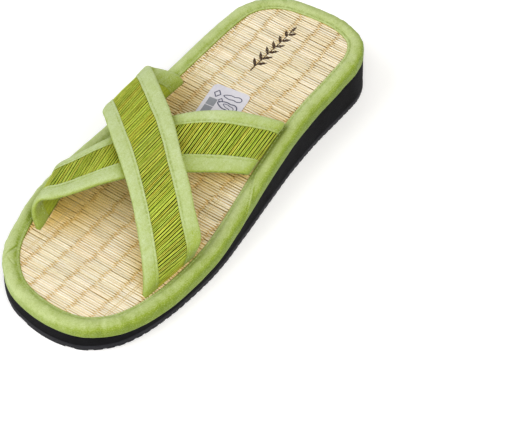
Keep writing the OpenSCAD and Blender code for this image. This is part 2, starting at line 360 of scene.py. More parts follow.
def foam_black(name, lo, hi, rough, bump, spec):
    m = Mat(name)
    p = m.attr("rest")
    cell = m.node("TexVoronoi", {"Vector": p, "Scale": 2.4, "Randomness": 1.0}, 0)
    g = m.noise(p, 3.5, 4, 0.6)
    big = m.noise(p, 0.09, 3, 0.5)
    dust = m.noise(m.scaled(p, (1, 1, 3)), 0.5, 5, 0.7)
    f = m.math("ADD", m.math("MULTIPLY", g, 0.45), m.math("MULTIPLY", big, 0.35))
    f = m.math("ADD", f, m.math("MULTIPLY", m.math("SUBTRACT", dust, 0.45, clamp=True), 0.5))
    c = m.ramp(f, [(0.25, lo), (0.8, hi)])
    h = m.math("ADD", m.math("MULTIPLY", cell, 0.6), m.math("MULTIPLY", g, 0.8))
    m.set(Base_Color=c, Roughness=rough, Normal=m.bump(h, 0.5, bump))
    m.b.inputs["Specular IOR Level"].default_value = spec
    return m.m


RUBBER = foam_black("outsole_black", lin(20, 20, 22), lin(54, 54, 61), 0.62, 0.18, 0.14)
EVA = foam_black("midsole_black", lin(8, 8, 8), lin(34, 34, 38), 0.75, 0.24, 0.05)


def straw_material(name="straw", sat=1.0):
    m = Mat(name)
    p = m.attr("rest")
    tint = m.attr("tint", "Color")
    fib = m.noise(m.scaled(p, (0.35, 7.0, 7.0)), 1.0, 5, 0.62)
    blot = m.noise(m.scaled(p, (0.5, 1.1, 1.0)), 1.0, 4, 0.6)
    spot = m.noise(m.scaled(p, (1.2, 2.2, 1.0)), 1.0, 2, 0.5)
    light = m.mix(0.30, tint, lin(252, 247, 226))
    dark = m.mix(0.32, tint, lin(180, 152, 96), "MULTIPLY")
    c = m.mix(m.ramp(fib, [(0.26, 0.0), (0.60, 1.0)]), dark, light)
    c = m.mix(m.math("MULTIPLY", m.ramp(blot, [(0.54, 0.0), (0.76, 1.0)]), 0.20), c,
              lin(214, 168, 96))
    # painted shade: golden and darker where the straps cover the mat
    air = m.open_air(32.0)
    c = m.mix(m.ramp(air, [(0.44, 1.0), (0.86, 0.0)]), c,
              m.mix(1.0, c, (1.12, 0.88, 0.38), "MULTIPLY"))
    c = m.mix(m.math("MULTIPLY", m.ramp(spot, [(0.66, 0.0), (0.74, 1.0)]), 0.35), c,
              lin(140, 96, 44))
    h = m.math("ADD", fib, m.math("MULTIPLY", blot, 0.4))
    m.set(Base_Color=c, Roughness=m.ramp(fib, [(0.2, 0.62), (0.8, 0.42)]),
          Normal=m.bump(h, 0.6, 0.10))
    m.b.inputs["Specular IOR Level"].default_value = 0.28
    return m.m


STRAW = straw_material()


def stalk_material():
    m = Mat("grass_stalk")
    p = m.attr("rest")
    lc = m.attr("local")
    tint = m.attr("tint", "Color")
    # local holds the stalk's own number, the place along it and the place round it
    fib = m.noise(m.scaled(lc, (7.3, 0.22, 2.6)), 1.0, 4, 0.6)
    blot = m.noise(m.scaled(lc, (3.1, 0.12, 0.6)), 1.0, 2, 0.5)
    light = m.mix(0.36, tint, lin(226, 232, 110))
    dark = m.mix(0.50, tint, lin(150, 164, 40), "MULTIPLY")
    c = m.mix(m.ramp(fib, [(0.36, 0.0), (0.60, 1.0)]), dark, light)
    c = m.mix(m.math("MULTIPLY", m.ramp(blot, [(0.56, 0.0), (0.74, 1.0)]), 0.40), c,
              lin(190, 164, 44))
    # painted shade: darker and golden at the foot of the strap, where the binding and the mat cover it
    c = m.mix(m.ramp(m.open_air(14.0), [(0.45, 0.9), (0.80, 0.0)]), c,
              m.mix(1.0, c, (0.80, 0.70, 0.38), "MULTIPLY"))
    m.set(Base_Color=c, Roughness=0.5, Normal=m.bump(fib, 0.6, 0.08))
    m.b.inputs["Specular IOR Level"].default_value = 0.2
    return m.m


STALK = stalk_material()


def thread_material(name, a, b):
    m = Mat(name)
    p = m.attr("local")
    tw = m.node("TexWave", {"Vector": p, "Scale": 1.2, "Distortion": 0.6, "Detail": 1.0}, 1,
                wave_type="BANDS", bands_direction="DIAGONAL")
    n = m.noise(m.attr("rest"), 3.0, 3, 0.6)
    f = m.math("ADD", m.math("MULTIPLY", tw, 0.5), m.math("MULTIPLY", n, 0.5))
    m.set(Base_Color=m.ramp(f, [(0.25, a), (0.75, b)]), Roughness=0.6,
          Normal=m.bump(tw, 0.6, 0.06))
    m.b.inputs["Sheen Weight"].default_value = 0.2
    return m.m


THREAD = thread_material("sewing_thread", lin(136, 158, 58), lin(188, 203, 130))
WARP = thread_material("warp_thread", lin(192, 160, 92), lin(224, 206, 156))


def simple(name, a, b, scale, rough, bump=0.05, sheen=0.0, spec=0.4):
    m = Mat(name)
    p = m.attr("rest")
    n = m.noise(p, scale, 4, 0.6)
    big = m.noise(p, scale*0.15, 2, 0.5)
    f = m.math("ADD", m.math("MULTIPLY", n, 0.55), m.math("MULTIPLY", big, 0.45))
    m.set(Base_Color=m.ramp(f, [(0.3, a), (0.7, b)]), Roughness=rough, Normal=m.bump(n, 0.4, bump))
    m.b.inputs["Sheen Weight"].default_value = sheen
    m.b.inputs["Specular IOR Level"].default_value = spec
    return m.m


FOAM = simple("footbed_foam", lin(190, 184, 166), lin(220, 214, 196), 2.0, 0.9, 0.2)
BACKING = simple("mat_backing", lin(122, 92, 48), lin(166, 132, 76), 1.4, 0.9, 0.2)
FILM = simple("label_film", lin(200, 198, 209), lin(218, 216, 223), 0.6, 0.42, 0.02, spec=0.4)
GREY = simple("label_grey", lin(128, 132, 140), lin(144, 147, 154), 0.9, 0.5, 0.02)
INK = simple("label_ink", lin(70, 72, 96), lin(94, 96, 116), 1.2, 0.6, 0.02)
BROWN = simple("print_ink", lin(40, 27, 18), lin(74, 52, 34), 1.6, 0.75, 0.04)


# -------------------------------------------------------------------- sole
def outline_at(ys, d):
    """left and right x of the outline drawn d inside the rim, at heights ys"""
    p, n = rim_frame(np.linspace(0, len(OUT), 34*40, endpoint=False))
    q = p + n*d
    q = np.vstack([q, q[:1]])
    a, b = q[:-1], q[1:]
    left, right = np.full(len(ys), np.inf), np.full(len(ys), -np.inf)
    for k, y in enumerate(ys):
        hit = (a[:, 1] - y)*(b[:, 1] - y) <= 0
        if not hit.any():
            continue
        dy = b[hit, 1] - a[hit, 1]
        t = np.where(np.abs(dy) > 1e-9, (y - a[hit, 1])/np.where(np.abs(dy) > 1e-9, dy, 1), 0)
        x = a[hit, 0] + (b[hit, 0] - a[hit, 0])*t
        left[k], right[k] = x.min(), x.max()
    return left, right


def y_lines(d, extra=(), m=7):
    p, n = rim_frame(np.linspace(0, len(OUT), 34*m, endpoint=False))
    q = (p + n*d)[:, 1]
    fine, fn = rim_frame(np.linspace(0, len(OUT), 34*40, endpoint=False))
    fy = (fine + fn*d)[:, 1]
    lo, hi = fy.min() + 4e-3, fy.max() - 4e-3
    ys = np.concatenate([q, np.asarray(extra, float), [lo, hi]])
    ys = np.unique(np.round(ys[(ys >= lo) & (ys <= hi)], 3))
    keep = [ys[0]]
    hard = set(np.round(np.asarray(extra, float), 3)) | {ys[-1]}
    for y in ys[1:]:
        if y - keep[-1] > 0.12 or y in hard or abs(y) > 118 and y - keep[-1] > 0.02:
            keep.append(y)
    return np.array(keep)


def slab(name, mat, d, zlo, zhi, levels, extra=(), bulge=None, bevel=0.0):
    """a layer of the sole between two heights: rings of wall points on lines across the sole"""
    ys = y_lines(d, extra)
    left, right = outline_at(ys, d)
    n, k = len(ys), len(levels)
    lo, hi = zlo(ys), zhi(ys)
    V = []
    mid = (left + right)/2
    half = (right - left)/2
    # one loop of wall points on every line: up the left side, down the right side
    prof = []
    for s, side in ((levels, -1), (levels[::-1], 1)):
        for t in s:
            push = 0 if bulge is None else bulge(t)
            x = mid + side*np.maximum(half + push, 0.02)
            prof.append(np.stack([x, ys, lo + (hi - lo)*t], 1))
    V = np.stack(prof, 1)  # line, point, xyz
    K = 2*k
    faces = grid(n, K, loop_v=True)
    caps = [list(range(K)), list(range((n - 1)*K, n*K))]
    return V.reshape(-1, 3), [faces, caps], ys, K


# outsole, with the grooves across its underside as real grooves
def outsole():
    pitch, gap, depth, t = 4.8, 1.8, 0.8, 3.5
    edges = np.array([c*pitch + s*gap/2 for c in range(-27, 27) for s in (-1, 1)])
    ys = y_lines(0.0, edges)
    left, right = outline_at(ys, 0.0)
    n = len(ys)
    cen = np.round(((ys[:-1] + ys[1:])/2)/pitch)*pitch
    groove = np.abs((ys[:-1] + ys[1:])/2 - cen) < gap/2
    V, F = [], []
    hs = [0.0, 0.35, depth, 2.0, t - 0.35, t]
    ins = [0.35, 0.0, 0.0, 0.0, 0.0, 0.3]
    wear = 0.10*noise2(ys/9.0, ys*0, 5)
    for i in range(n):
        w = right[i] - left[i]
        for j, h in enumerate(hs):
            c = min(ins[j], w*0.4)
            V.append((left[i] + c - (wear[i] if 0 < j < 5 else 0)*0.5, ys[i], h))
        for j, h in enumerate(hs):
            c = min(ins[j], w*0.4)
            V.append((right[i] - c + (wear[i] if 0 < j < 5 else 0)*0.5, ys[i], h))
    L = lambda i, j: i*12 + j
    R = lambda i, j: i*12 + 6 + j
    for i in range(n - 1):
        j0 = 2 if groove[i] else 0
        for j in range(j0, 5):
            F.append((L(i, j), L(i + 1, j), L(i + 1, j + 1), L(i, j + 1)))
            F.append((R(i, j), R(i, j + 1), R(i + 1, j + 1), R(i + 1, j)))
        F.append((L(i, j0), R(i, j0), R(i + 1, j0), L(i + 1, j0)))
        F.append((L(i, 5), L(i + 1, 5), R(i + 1, 5), R(i, 5)))
    for i in range(1, n - 1):
        if groove[i - 1] != groove[i]:
            F.append((L(i, 0), L(i, 1), L(i, 2), R(i, 2), R(i, 1), R(i, 0)))
    for i in (0, n - 1):
        j0 = 2 if groove[0 if i == 0 else n - 2] else 0
        F.append(tuple(L(i, j) for j in range(j0, 6)) + tuple(R(i, j) for j in range(5, j0 - 1, -1)))
    o = make("outsole_rubber", V, [F], RUBBER, sharp=35)
    sole_piece(o, "outsole", "outsole_main", "outsole_toe")


def midsole():
    lv = [0, 0.03, 0.1, 0.25, 0.4, 0.55, 0.7, 0.85, 0.95, 1.0]
    v, f, ys, K = slab("midsole", EVA, 0.2, lambda y: y*0 + 3.5, lambda y: top_z(y) - 6.55, lv,
                       extra=np.arange(-100, -84, 1.0),
                       bulge=lambda t: -0.18 if t in (0, 1.0) else (-0.06 if t in (0.03,) else 0.0))
    s = 0.12*noise2(v[:, 1]/6.5, v[:, 2]/5.0 + np.sign(v[:, 0])*20, 3)
    v[:, 0] += np.sign(v[:, 0])*s
    o = make("midsole_foam", v, f, EVA, sharp=40)
    sole_piece(o, "midsole", "midsole_main", "midsole_toe")
    v, f, ys, K = slab("footbed", FOAM, 2.5, lambda y: top_z(y) - 6.5, lambda y: top_z(y) - 1.65,
                       [0, 0.15, 0.5, 0.85, 1.0], extra=np.arange(-100, -84, 1.5),
                       bulge=lambda t: -0.35 if t in (0, 1.0) else 0.0)
    o = make("footbed_pad", v, f, FOAM, sharp=40)
    sole_piece(o, "footbed_foam", "footbed_main", "footbed_toe")


outsole()
midsole()

# -------------------------------------------------------------- strap ends
def slot_lines():
    """foot prints of the four strap ends on the mat: the end points of each line"""
    found = []
    for a, b in ((UF[0], UR[0]), (UF[-1], UR[-1]), (LF[0], LR[0]), (LF[-1], LR[-1])):
        found.append((np.array(a[:2], float), np.array(b[:2], float)))
    return found


SLOTS = slot_lines()


def in_slot(x, y, half=1.66, end=0.2):
    """true where a point of the mat lies under a strap end"""
    hit = np.zeros(np.shape(x), bool)
    for a, b in SLOTS:
        d = b - a
        n = np.linalg.norm(d)
        d = d/n
        s = (x - a[0])*d[0] + (y - a[1])*d[1]
        t = -(x - a[0])*d[1] + (y - a[1])*d[0]
        hit |= (s > -end) & (s < n + end) & (np.abs(t) < half)
    return hit


def slot_spans(y, half=1.6, end=0.15):
    """the stretches of x at y that lie under a strap end"""
    spans = []
    for a, b in SLOTS:
        d = b - a
        n = np.linalg.norm(d)
        d = d/n
        x = np.linspace(min(a[0], b[0]) - 6, max(a[0], b[0]) + 6, 900)
        s = (x - a[0])*d[0] + (y - a[1])*d[1]
        t = -(x - a[0])*d[1] + (y - a[1])*d[0]
        hit = (s > -end) & (s < n + end) & (np.abs(t) < half)
        if hit.any():
            spans.append((float(x[hit][0]), float(x[hit][-1])))
    return spans


# --------------------------------------------------------------- straw mat
PITCH = 0.74      # from one straw to the next
CELL = 12.9       # from one warp thread to the next


def warp_shift(y):
    """the warp threads lean a little from toe to heel"""
    return 6.3*sm(y, -75, 85) + 0.5*noise2(y/23.0, y*0, 31)


YS = []
_y = -121.0
while _y < 121.5:
    YS.append(_y)
    _y += PITCH*(1 + 0.09*(rng.random() - 0.5))
YS = np.array(YS)
NS = len(YS)
S_W = 1 + 0.13*(rng.random(NS) - 0.5)      # share of the usual width
S_H = 0.09*(rng.random(NS) - 0.5)          # height offset
S_TILT = 0.012*(rng.random(NS) - 0.5)
S_PH = rng.random(NS)*100
_k = np.arange(NS)
S_JOG = 1.0*noise2(_k/3.5, _k*0 + 0.5, 57) + 0.9*(hash01(_k, _k*0, 58) - 0.5)   # crossings wander


def weave_at(j, x):
    """place of x along straw j in half periods of the weave: it crosses at 0.5, 1.5, and so on"""
    return (x - 1.5 - 6.45 - warp_shift(YS[j]) + 0.5*noise2(x/30.0, YS[j]/7.0, 8) + S_JOG[j])/CELL


def straw_at(j, x):
    """centre y and z, half width and half height of straw j at x"""
    y0 = YS[j]
    par = np.where(j % 2 == 0, 0.0, 1.0)
    c = np.cos(math.pi*(weave_at(j, x) + par)) + 0.16*noise2(x/6.0, S_PH[j], 12)
    s = np.tanh(6.0*c)
    over = 0.5 + 0.5*s
    mid = sm(c, 0.0, 0.5)
    y = y0 + S_TILT[j]*x + 0.10*noise2(x/11.0, S_PH[j] + 3.3, 14) + 0.04*noise2(x/3.1, S_PH[j], 15)
    z = -0.66 + 0.34*s + S_H[j]*over + 0.05*noise2(x/4.0, S_PH[j], 17)
    a = (0.43 + 0.29*mid + 0.025*mid*sm(y0, -30, 50))*S_W[j]*(1 + 0.06*noise2(x/5.0, S_PH[j], 19))
    b = (0.34 + 0.05*over)*(1 + 0.08*noise2(x/7.0, S_PH[j], 21))
    return y, z, a, b


def float_at(j, x):
    """0 where straw j dives below its neighbours, 1 in the middle of a float"""
    return sm(np.cos(math.pi*(weave_at(j, x) + j % 2)), 0.0, 0.40)


def mat_tint(x, y, j, over):
    """colour of the straws, patch by patch, straw by straw and float by float"""
    cream, gold = np.array(lin(235, 230, 208)), np.array(lin(223, 210, 172))
    pink, green = np.array(lin(233, 219, 196)), np.array(lin(220, 220, 186))
    white = np.array(lin(250, 248, 238))
    r = np.random.default_rng(1000 + j)
    k = r.random(4)
    cell = np.floor((x - 1.5 - warp_shift(y))/CELL).astype(int)
    f = hash01(cell, cell*0 + j, 91)
    g = hash01(cell, cell*0 + j, 92)
    c = cream*(1 + 0.10*(k[0] - 0.5)) + 0*x[:, None]
    pat = noise2(x/17.0, y/13.0, 33)
    pat2 = noise2(x/9.0 + 7, y/6.0, 35)
    w = lambda v: np.clip(v, 0, 1)[:, None]
    c = c + (gold - c)*w(0.32 + 0.45*pat + 0.45*(f - 0.5))
    c = c + (pink - c)*w(0.55*(pat2 - 0.1) + 0.3*(g > 0.86))
    c = c + (green - c)*w(0.5*(noise2(x/14.0, y/19.0, 37) - 0.35) + 0.35*(k[1] > 0.93))
    c = c + (white - c)*w(0.55*(f > 0.72) + 0.25*noise2(x/3.0, y/3.0, 39))
    c = c*(0.86 + 0.22*g[:, None])
    # painted shade and painted light: golden, darker zones beside and behind the straps, and paler zones between
    # them
    spot = lambda cx, cy, rad: np.exp(-((x - cx)**2 + (y - cy)**2)/(2.0*rad*rad))[:, None]
    painted_shade_zones = np.clip(spot(-25, 31, 12) + 0.40*spot(31, 48, 11) + 0.50*spot(-26, -62, 12), 0, 1)
    painted_light_zones = np.clip(spot(21, -8, 11) + 0.6*spot(-1, -62, 10), 0, 1)
    c = c*(1 - (1 - np.array([0.76, 0.62, 0.28]))*painted_shade_zones)*(1 + np.array([0.20, 0.22, 0.28])*painted_light_zones)
    # painted shade: paler on the floats, darker and golden brown where a straw dives between its neighbours and lies
    # low
    deep = np.array([0.83, 0.75, 0.58])
    far = np.clip(float_at(j, x) + 0.35*noise2(x/8.0, y/5.0, 40) - 0.1, 0, 1)
    near = np.array([0.95, 0.91, 0.82])
    c = c*(near + (1 - near)*far[:, None])
    return c*(deep + (1 - deep)*sm(over, 0.3, 0.9)[:, None])


def straws():
    left, right = outline_at(YS, 6.2)
    ang = np.radians([0, 42, 90, 138, 180, 270])
    # painted shade and light: the flanks and underside of a straw are painted darker and browner than its back,
    # which is a little brighter, most of all where it dives
    DIVE_SIDE_SHADE = np.array([(0.55, 0.44, 0.27), (0.93, 0.90, 0.84), (1.03, 1.03, 1.02), (0.93, 0.90, 0.84),
                       (0.55, 0.44, 0.27), (0.4, 0.3, 0.2)])
    FLOAT_SIDE_SHADE = np.array([(0.76, 0.69, 0.57), (0.96, 0.94, 0.91), (1.06, 1.06, 1.06), (0.96, 0.94, 0.91),
                      (0.76, 0.69, 0.57), (0.4, 0.3, 0.2)])
    V, F, T, base = [], [], [], 0
    for j in range(NS):
        if not np.isfinite(left[j]) or right[j] - left[j] < 6:
            continue
        # close points where the straw dives, wide ones along its floats
        near = [1.5 + CELL*(k + 1) + float(warp_shift(YS[j]) - S_JOG[j]) for k in range(-5, 5)]
        x = np.concatenate([np.asarray(near)[:, None] + np.array([-3.9, -2.0, -1.2, -0.6, -0.15, 0.3, 0.8, 1.5,
                                                                   2.6, 4.6])]).ravel()
        x = np.sort(x[(x > left[j] + 0.2) & (x < right[j] - 0.2)])
        holes = slot_spans(YS[j])
        for a0, a1 in holes:
            x = np.append(x[(x < a0 - 0.25) | (x > a1 + 0.25)], [a0 - 0.03, (a0 + a1)/2, a1 + 0.03])
        x = np.sort(np.concatenate([[left[j]], x, [right[j]]]))
        n = len(x)
        y, z, a, b = straw_at(j, x)
        z = z + top_z(y)
        over = np.clip((z - top_z(y) + 1.0)/0.68, 0, 1)
        ring = np.stack([np.repeat(x[:, None], 6, 1), y[:, None] + a[:, None]*np.cos(ang),
                         z[:, None] + b[:, None]*np.sin(ang)*np.where(ang > 3.2, 0.8, 1)], -1)
        free = np.ones(n, bool)
        for a0, a1 in holes:
            free &= (x < a0) | (x > a1)
        # runs of free points: a straw stops at a strap end and starts again behind it
        cuts = np.flatnonzero(np.diff(free.astype(int)) != 0) + 1
        for run in np.split(np.arange(n), cuts):
            if not free[run[0]] or len(run) < 2:
                continue
            v = ring[run].reshape(-1, 3)
            V.append(v)
            F.append(grid(len(run), 6, loop_v=True, start=base))
            F.append(np.array([[base + q for q in range(4)], [base, base + 3, base + 4, base + 5]]))
            e = base + (len(run) - 1)*6
            F.append(np.array([[e + q for q in range(4)], [e, e + 3, e + 4, e + 5]]))
            fl = float_at(j, x[run])[:, None, None]
            tt = mat_tint(x[run], y[run], j, over[run])[:, None, :]*(DIVE_SIDE_SHADE[None]*(1 - fl) + FLOAT_SIDE_SHADE[None]*fl)
            T.append(tt.reshape(-1, 3))
            base += len(v)
    V, T = np.vstack(V), np.vstack(T)
    o = make("mat_straws", V, F, STRAW, extra={"tint": np.hstack([np.clip(T, 0, 1), np.ones((len(T), 1))])},
             fix=False)
    sole_piece(o, "straw_mat", "straw_mat_main", "straw_mat_toe")


def draped(x, y, lift=0.03):
    """height of the top of the straws at x, y"""
    z = np.full(x.shape, -9.0)
    for j in range(NS):
        near = np.abs(y - YS[j]) < 1.6
        if not near.any():
            continue
        yy, zz, a, b = straw_at(j, x[near])
        q = 1 - ((y[near] - yy)/a)**2
        h = np.where(q > 0, zz + b*np.sqrt(np.maximum(q, 0)), -9)
        z[near] = np.maximum(z[near], h)
    return np.maximum(z, -0.42) + top_z(y) + lift


def backing():
    ys = y_lines(5.6, np.arange(-118, 118, 2.0))
    left, right = outline_at(ys, 5.6)
    k = 24
    t = np.linspace(0, 1, k)
    X = left[:, None] + (right - left)[:, None]*t
    Y = np.repeat(ys[:, None], k, 1)
    top = np.stack([X, Y, top_z(Y) - 1.02 + 0.05*noise2(X/2.0, Y/2.0, 44)], -1)
    bot = np.stack([X, Y, top_z(Y) - 1.58], -1)
    n = len(ys)
    V = np.vstack([top.reshape(-1, 3), bot.reshape(-1, 3)])
    F = [grid(n, k), grid(n, k, start=n*k)[:, ::-1]]
    edge = [i*k for i in range(n)] + [(n - 1)*k + j for j in range(1, k)] + \
        [i*k + k - 1 for i in range(n - 2, -1, -1)] + [j for j in range(k - 2, 0, -1)]
    F.append([(a, b, b + n*k, a + n*k) for a, b in zip(edge, edge[1:] + edge[:1])])
    sole_piece(make("mat_backing", V, F, BACKING, sharp=40), "straw_mat")


def tube(path, radii, ang_n=6, ref=(0, 0, 1)):
    """points of a closed tube along a path, whose quads tube_faces gives; radii is (sideways, upwards)"""
    path = np.asarray(path, float)
    t = np.gradient(path, axis=0)
    t /= np.linalg.norm(t, axis=1, keepdims=True)
    up = np.array(ref, float) if np.ndim(ref) == 1 else np.asarray(ref)
    side = np.cross(t, up)
    side /= np.linalg.norm(side, axis=1, keepdims=True)
    up = np.cross(side, t)
    ang = np.arange(ang_n)*2*math.pi/ang_n
    ra, rb = radii
    ra, rb = np.broadcast_to(ra, len(path)), np.broadcast_to(rb, len(path))
    v = path[:, None] + side[:, None]*(ra[:, None]*np.cos(ang))[..., None] + \
        up[:, None]*(rb[:, None]*np.sin(ang))[..., None]
    return v.reshape(-1, 3)


def tube_faces(n, k, start):
    return [grid(n, k, loop_v=True, start=start),
            [tuple(start + q for q in range(k))[::-1], tuple(start + (n - 1)*k + q for q in range(k))]]


def warps():
    """the cotton warp threads: they show as small stitches where straws dive below them"""
    V, F, L, base = [], [], [], 0
    runs = [(1.5 + 6.45 + CELL*k, 0.0, 0.24) for k in range(-4, 4)]
    runs += [(-28.4, 0.55, 0.17), (-29.5, 0.55, 0.15), (31.8, 0.55, 0.17), (33.0, 0.55, 0.15)]
    yy = np.arange(-119, 119.5, PITCH/2)
    left, right = outline_at(yy, 9.6)
    for x0, proud, r in runs:
        lean = warp_shift(yy)*(1 if proud == 0 else 0.25)
        x = x0 + lean + 0.12*noise2(yy/4.0, yy*0 + x0, 51)
        ok = (x > left) & (x < right) & ~in_slot(x, yy, 2.4, 1.6)
        if proud == 0:
            z = top_z(yy) - 0.80 + 0.10*np.cos(math.pi*yy/PITCH)
        else:
            z = draped(x, yy, -0.02) + 0.05*np.cos(math.pi*yy/PITCH)
        for run in np.split(np.arange(len(yy)), np.flatnonzero(np.diff(ok.astype(int)) != 0) + 1):
            if not ok[run[0]] or len(run) < 8:
                continue
            p = np.stack([x[run], yy[run], z[run]], 1)
            v = tube(p, (r, r*0.8), 5)
            V.append(v)
            F += tube_faces(len(run), 5, base)
            s = yy[run]
            L.append(np.stack([np.repeat(s, 5), np.tile(np.arange(5)/5.0, len(run)), np.zeros(len(v))], 1))
            base += len(v)
    o = make("mat_warp_threads", np.vstack(V), F, WARP, extra={"local": np.vstack(L)})
    sole_piece(o, "straw_mat")


straws()
backing()
warps()


# -------------------------------------------------------- label and print
def thin(nu, nv, start, loop=False):
    """faces of a thin closed layer: nu*nv points on top, then as many below"""
    n = nu*nv
    top = grid(nu, nv, loop_u=loop, start=start)
    F = [top, top[:, ::-1] + n]
    i = np.arange(nu if loop else nu - 1)
    a, b = start + i*nv, start + ((i + 1) % nu)*nv
    F.append(np.stack([a, b, b + n, a + n], 1))
    F.append(np.stack([a, b, b + n, a + n], 1)[:, ::-1] + nv - 1)
    if not loop:
        j = start + np.arange(nv - 1)
        F.append(np.stack([j, j + 1, j + 1 + n, j + n], 1)[:, ::-1])
        F.append(np.stack([j, j + 1, j + 1 + n, j + n], 1) + (nu - 1)*nv)
    return F


def flat_shape(points_2d, centre, turn):
    """turns flat points about their centre and puts them on the mat's plane"""
    q = np.asarray(points_2d, float)
    c, s = math.cos(math.radians(turn)), math.sin(math.radians(turn))
    return np.stack([centre[0] + c*q[:, 0] - s*q[:, 1], centre[1] + s*q[:, 0] + c*q[:, 1]], 1)


LABEL_C, LABEL_TURN = (-2.3, 39.0), 7.0


def label():
    w, l, r = 11.25, 12.5, 1.8
    k = 26
    # rings from the middle out to the rounded edge, so that the edge is smooth
    a = np.linspace(0, 2*math.pi, 96, endpoint=False)
    c, s = np.cos(a), np.sin(a)
    sup = (np.abs(c)**9 + np.abs(s)**9)**(-1/9.0)
    q = [np.stack([c*sup*w*t, s*sup*l*t], 1) for t in np.linspace(0.02, 1, k)]
    q = np.vstack(q)
    xy = flat_shape(q, LABEL_C, LABEL_TURN)
    rr = np.maximum(np.abs(q[:, 0])/w, np.abs(q[:, 1])/l)
    z = top_z(xy[:, 1]) + 0.12 + 0.06*noise2(xy[:, 0]/5, xy[:, 1]/1.45, 61) + \
        0.35*np.maximum(rr - 0.93, 0)*4*(0.5 + 0.5*noise2(xy[:, 0]/6, xy[:, 1]/6, 62))
    top = np.column_stack([xy, z + 0.2])
    bot = np.column_stack([xy, z])
    n = len(q)
    F = [grid(k, 96, loop_v=True), grid(k, 96, loop_v=True, start=n)[:, ::-1]]
    e = (k - 1)*96
    F.append([(e + i, e + (i + 1) % 96, n + e + (i + 1) % 96, n + e + i) for i in range(96)])
    F.append([tuple(range(96))[::-1], tuple(range(n, n + 96))])
    strap_piece(make("composition_label_film", np.vstack([top, bot]), F, FILM, sharp=50),
                "label_film", "composition_label")

    def lz(xy):
        return top_z(xy[:, 1]) + 0.12 + 0.06*noise2(xy[:, 0]/5, xy[:, 1]/1.45, 61) + 0.2

    V, F, base = [], [], 0

    def print_on(q, nu, nv, loop=False):
        """a printed area as a very thin closed layer"""
        nonlocal base
        xy = flat_shape(q, LABEL_C, LABEL_TURN)
        z = lz(xy)
        V.extend([np.column_stack([xy, z + 0.035]), np.column_stack([xy, z - 0.04])])
        F.extend(thin(nu, nv, base, loop))
        base += 2*len(q)

    # grey squares down one side
    for cy in (-0.4, -6.0, -11.0):
        g = np.linspace(-1, 1, 7)
        h = 2.55 if cy > -10 else 0.9
        print_on(np.stack(np.meshgrid(g*2.5 - 6.6, g*h + cy + 0.2, indexing="ij"), -1).reshape(-1, 2), 7, 7)
    strap_piece(make("label_squares", np.vstack(V), F, GREY, sharp=40), "label_film")

    # plain outlined shapes: diamonds and soft lobes, drawn as narrow bands
    def band(pts, width):
        pts = np.asarray(pts, float)
        nxt = np.roll(pts, -1, 0) - np.roll(pts, 1, 0)
        nrm = np.stack([-nxt[:, 1], nxt[:, 0]], 1)
        nrm /= np.linalg.norm(nrm, axis=1, keepdims=True)
        print_on(np.stack([pts - nrm*width/2, pts + nrm*width/2], 1).reshape(-1, 2), len(pts), 2, True)

    V, F, base = [], [], 0

    def diamond(cx, cy, r):
        k = np.linspace(0, 4, 48, endpoint=False)
        i = np.floor(k).astype(int)
        corner = np.array([(r, 0), (0, r), (-r, 0), (0, -r), (r, 0)])*[0.85, 1.05]
        t = (k - i)[:, None]
        return corner[i]*(1 - t) + corner[i + 1]*t + [cx, cy]

    def lobe(cx, cy, length, r, pinch, turn):
        a = np.linspace(0, 2*math.pi, 72, endpoint=False)
        x = np.cos(a)*length
        y = np.sin(a)*r*(1 - pinch*np.exp(-((x - 0.15*length)/(0.3*length))**2) + 0.35*x/length)
        c, s = math.cos(math.radians(turn)), math.sin(math.radians(turn))
        return np.stack([cx + c*x - s*y, cy + s*x + c*y], 1)

    band(diamond(-6.4, 6.2, 2.2), 0.62)
    band(lobe(2.7, 6.7, 5.3, 1.75, 0.40, 4), 0.55)
    band(lobe(2.6, 0.3, 5.9, 2.8, 0.25, -6), 0.68)
    band(lobe(3.4, 0.2, 3.4, 1.2, 0.3, -14), 0.45)
    band(diamond(-2.6, 2.6, 1.4), 0.5)
    band(lobe(3.0, -6.4, 5.6, 2.0, 0.4, 3), 0.5)
    strap_piece(make("label_outlines", np.vstack(V), F, INK, sharp=40), "label_film")


def sprig():
    """leaf sprig printed on the straws near the heel"""
    V, F, base = [], [], 0
    centre, turn = (-3.8, 88.0), -3.0

    def add(q, nu, nv):
        nonlocal base
        xy = flat_shape(q, centre, turn)
        z = draped(xy[:, 0], xy[:, 1], 0.035)
        V.extend([np.column_stack([xy, z]), np.column_stack([xy, z - 0.07])])
        F.extend(thin(nu, nv, base))
        base += 2*len(q)

    def leaf(ox, oy, length, turn_l, width):
        nu, nv = 34, 11
        u = np.linspace(0.0, 1, nu)[:, None]
        v = np.linspace(-1, 1, nv)[None, :]
        half = width*np.sin(math.pi*np.clip(u, 0.01, 0.99))**0.8*(1.15 - 0.45*u)
        x, y = half*v, length*u + 0*v
        c, s = math.cos(math.radians(turn_l)), math.sin(math.radians(turn_l))
        q = np.stack([ox + c*x + s*y, oy - s*x + c*y], -1).reshape(-1, 2)
        add(q, nu, nv)

    y = np.linspace(-20, 15, 160)[:, None]
    v = np.linspace(-1, 1, 5)[None, :]
    x = (0.36 - 0.004*(y + 20))*v + 0.25*np.sin(y/7)
    add(np.stack([x, y + 0*v], -1).reshape(-1, 2), 160, 5)
    for i in range(6):
        for s in (-1, 1):
            oy = -16 + i*5.4 + (s + 1)*0.6
            leaf(0.25*math.sin(oy/7), oy, 6.2 - 0.25*i, s*42, 0.95)
    leaf(0.25*math.sin(14/7), 14.0, 6.0, 0, 0.9)
    strap_piece(make("heel_mark_print", np.vstack(V), F, BROWN, sharp=50), "ink", "heel_mark")


label()
sprig()

